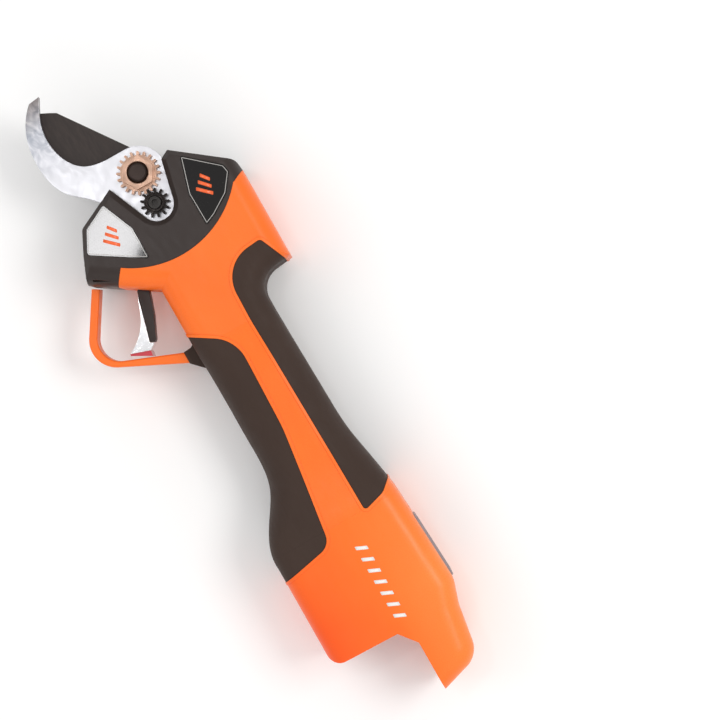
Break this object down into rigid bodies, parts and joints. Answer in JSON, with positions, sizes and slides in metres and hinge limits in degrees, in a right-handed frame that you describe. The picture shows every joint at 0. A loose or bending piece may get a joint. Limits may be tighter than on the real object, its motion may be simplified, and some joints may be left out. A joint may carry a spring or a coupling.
{
  "type": "battery electric pruner",
  "caption": "Hand-held battery pruner: orange shell with rubber grips, guarded trigger, dark head cover, hooked counter blade and a swinging bypass blade driven by a geared motor.",
  "frame": {"origin": "middle of the bounding box, at the bottom of the side that the tool lies on", "axes": "+X from the battery socket towards the blades, +Y towards the trigger, +Z out of the side that carries the adjusting nut"},
  "size_m": [0.3134, 0.0978, 0.0443],
  "materials": {
    "orange_shell": "fine satin moulded plastic",
    "grip_rubber": "matte overmoulded rubber",
    "dark_cover": "satin moulded plastic",
    "badge_black": "polished black insert",
    "bright_blade": "ground steel",
    "coated_blade": "dark low-friction coating",
    "bronze": "machined bronze",
    "gear_steel": "hardened steel",
    "bolt_steel": "dark turned steel",
    "black_steel": "black oxide",
    "cast_alloy": "machined aluminium",
    "bearing_steel": "ground steel",
    "motor_steel": "black zinc plated",
    "end_cap_plastic": "moulded plastic",
    "lamination_steel": "stamped laminations",
    "copper_wire": "enamelled copper",
    "trigger_face": "polished plating",
    "red_toe": "polished plastic",
    "circuit_board": "solder mask",
    "component_black": "moulded plastic",
    "smoked_window": "smoked clear plastic",
    "screen_glass": "display glass",
    "button_black": "satin plastic",
    "contact_brass": "tinned brass",
    "lead_insulation": "silicone insulation"
  },
  "bodies": {
    "casing": {"battery_contacts": "contact_brass", "blade_screws": "black_steel", "case_screws": "black_steel", "controller_board": "circuit_board", "controller_parts": "component_black", "display_board": "circuit_board", "display_screen": "screen_glass", "display_window": "smoked_window", "fixed_blade": "bright_blade", "head_frame": "cast_alloy", "internal_leads": "lead_insulation", "lock_screw": "black_steel", "lower_back_grip": "grip_rubber", "lower_front_badge": "badge_black", "lower_front_grip": "grip_rubber", "lower_head_cover": "dark_cover", "lower_housing": "orange_shell", "lower_rear_badge": "badge_black", "motor_bearings": "bearing_steel", "motor_can": "motor_steel", "motor_end_cap": "end_cap_plastic", "motor_front_plate": "cast_alloy", "motor_windings": "copper_wire", "pinion_bearing": "bearing_steel", "pivot_bolt": "bolt_steel", "ring_gear": "gear_steel", "stator": "lamination_steel", "terminal_block": "component_black", "thrust_washer": "bronze", "trigger_guard": "orange_shell", "trigger_pin": "bolt_steel", "trigger_sensor_board": "circuit_board", "trigger_spring": "bolt_steel", "upper_back_grip": "grip_rubber", "upper_front_badge": "badge_black", "upper_front_grip": "grip_rubber", "upper_head_cover": "dark_cover", "upper_housing": "orange_shell", "upper_rear_badge": "badge_black"},
    "rotor": {"rotor": "lamination_steel", "sun_gear": "gear_steel"},
    "first_carrier": {"first_carrier": "gear_steel"},
    "output_carrier": {"output_carrier": "gear_steel"},
    "blade": {"moving_blade": "coated_blade", "blade_bushing": "bronze", "bevel_sector": "gear_steel", "sector_rivets": "gear_steel"},
    "nut": {"adjusting_nut": "bronze"},
    "lock": {"lock_gear": "black_steel"},
    "trigger": {"trigger_lever": "dark_cover", "trigger_magnet": "bearing_steel", "trigger_pad": "trigger_face", "trigger_toe": "red_toe"},
    "button": {"power_button": "button_black"},
    "first_planet_a": {"first_planet_a": "gear_steel"},
    "first_planet_b": {"first_planet_b": "gear_steel"},
    "first_planet_c": {"first_planet_c": "gear_steel"},
    "second_planet_a": {"second_planet_a": "gear_steel"},
    "second_planet_b": {"second_planet_b": "gear_steel"},
    "second_planet_c": {"second_planet_c": "gear_steel"}
  },
  "joints": [
    {"name": "motor_spin", "type": "hinge", "parent": "casing", "child": "rotor", "pos_m": [0.04495, -0.0086, 0.022], "axis": [-1, 0, 0], "range_deg": [0, 6250]},
    {"name": "first_carrier_spin", "type": "hinge", "parent": "casing", "child": "first_carrier", "pos_m": [0.05595, -0.0086, 0.022], "axis": [-1, 0, 0], "range_deg": [0, 1250]},
    {"name": "output_spin", "type": "hinge", "parent": "casing", "child": "output_carrier", "pos_m": [0.06595, -0.0086, 0.022], "axis": [-1, 0, 0], "range_deg": [0, 250]},
    {"name": "blade_swing", "type": "hinge", "parent": "casing", "child": "blade", "pos_m": [0.10495, -0.0086, 0.031], "axis": [0, 0, 1], "range_deg": [-50, 0]},
    {"name": "first_planet_a_spin", "type": "hinge", "parent": "first_carrier", "child": "first_planet_a", "pos_m": [0.05235, -0.00185, 0.022], "axis": [-1, 0, 0], "range_deg": [-3334, 0]},
    {"name": "first_planet_b_spin", "type": "hinge", "parent": "first_carrier", "child": "first_planet_b", "pos_m": [0.05235, -0.01197, 0.02785], "axis": [-1, 0, 0], "range_deg": [-3334, 0]},
    {"name": "first_planet_c_spin", "type": "hinge", "parent": "first_carrier", "child": "first_planet_c", "pos_m": [0.05235, -0.01197, 0.01615], "axis": [-1, 0, 0], "range_deg": [-3334, 0]},
    {"name": "second_planet_a_spin", "type": "hinge", "parent": "output_carrier", "child": "second_planet_a", "pos_m": [0.06195, -0.00185, 0.022], "axis": [-1, 0, 0], "range_deg": [-667, 0]},
    {"name": "second_planet_b_spin", "type": "hinge", "parent": "output_carrier", "child": "second_planet_b", "pos_m": [0.06195, -0.01197, 0.02785], "axis": [-1, 0, 0], "range_deg": [-667, 0]},
    {"name": "second_planet_c_spin", "type": "hinge", "parent": "output_carrier", "child": "second_planet_c", "pos_m": [0.06195, -0.01197, 0.01615], "axis": [-1, 0, 0], "range_deg": [-667, 0]},
    {"name": "nut_turn", "type": "hinge", "parent": "casing", "child": "nut", "pos_m": [0.10495, -0.0086, 0.0376], "axis": [0, 0, 1], "range_deg": [-36, 36]},
    {"name": "lock_gear_turn", "type": "hinge", "parent": "casing", "child": "lock", "pos_m": [0.0901, -0.0086, 0.0376], "axis": [0, 0, 1], "range_deg": [-56, 56]},
    {"name": "trigger_pull", "type": "hinge", "parent": "casing", "child": "trigger", "pos_m": [0.06545, 0.0124, 0.022], "axis": [0, 0, 1], "range_deg": [0, 12], "stiffness_Nm_per_rad": 0.05, "springref_deg": -5.73},
    {"name": "power_button_press", "type": "slide", "parent": "casing", "child": "button", "axis": [0, 1, 0], "range_m": [0, 0.0008], "stiffness_N_per_m": 1500, "springref_m": -0.0004}
  ],
  "couplings": [
    {"joint": "first_carrier_spin", "follows": "motor_spin", "ratio": 0.2},
    {"joint": "output_spin", "follows": "motor_spin", "ratio": 0.04},
    {"joint": "blade_swing", "follows": "motor_spin", "ratio": -0.008},
    {"joint": "first_planet_a_spin", "follows": "motor_spin", "ratio": -0.53333},
    {"joint": "first_planet_b_spin", "follows": "motor_spin", "ratio": -0.53333},
    {"joint": "first_planet_c_spin", "follows": "motor_spin", "ratio": -0.53333},
    {"joint": "second_planet_a_spin", "follows": "motor_spin", "ratio": -0.10667},
    {"joint": "second_planet_b_spin", "follows": "motor_spin", "ratio": -0.10667},
    {"joint": "second_planet_c_spin", "follows": "motor_spin", "ratio": -0.10667},
    {"joint": "lock_gear_turn", "follows": "nut_turn", "ratio": -1.5385}
  ]
}
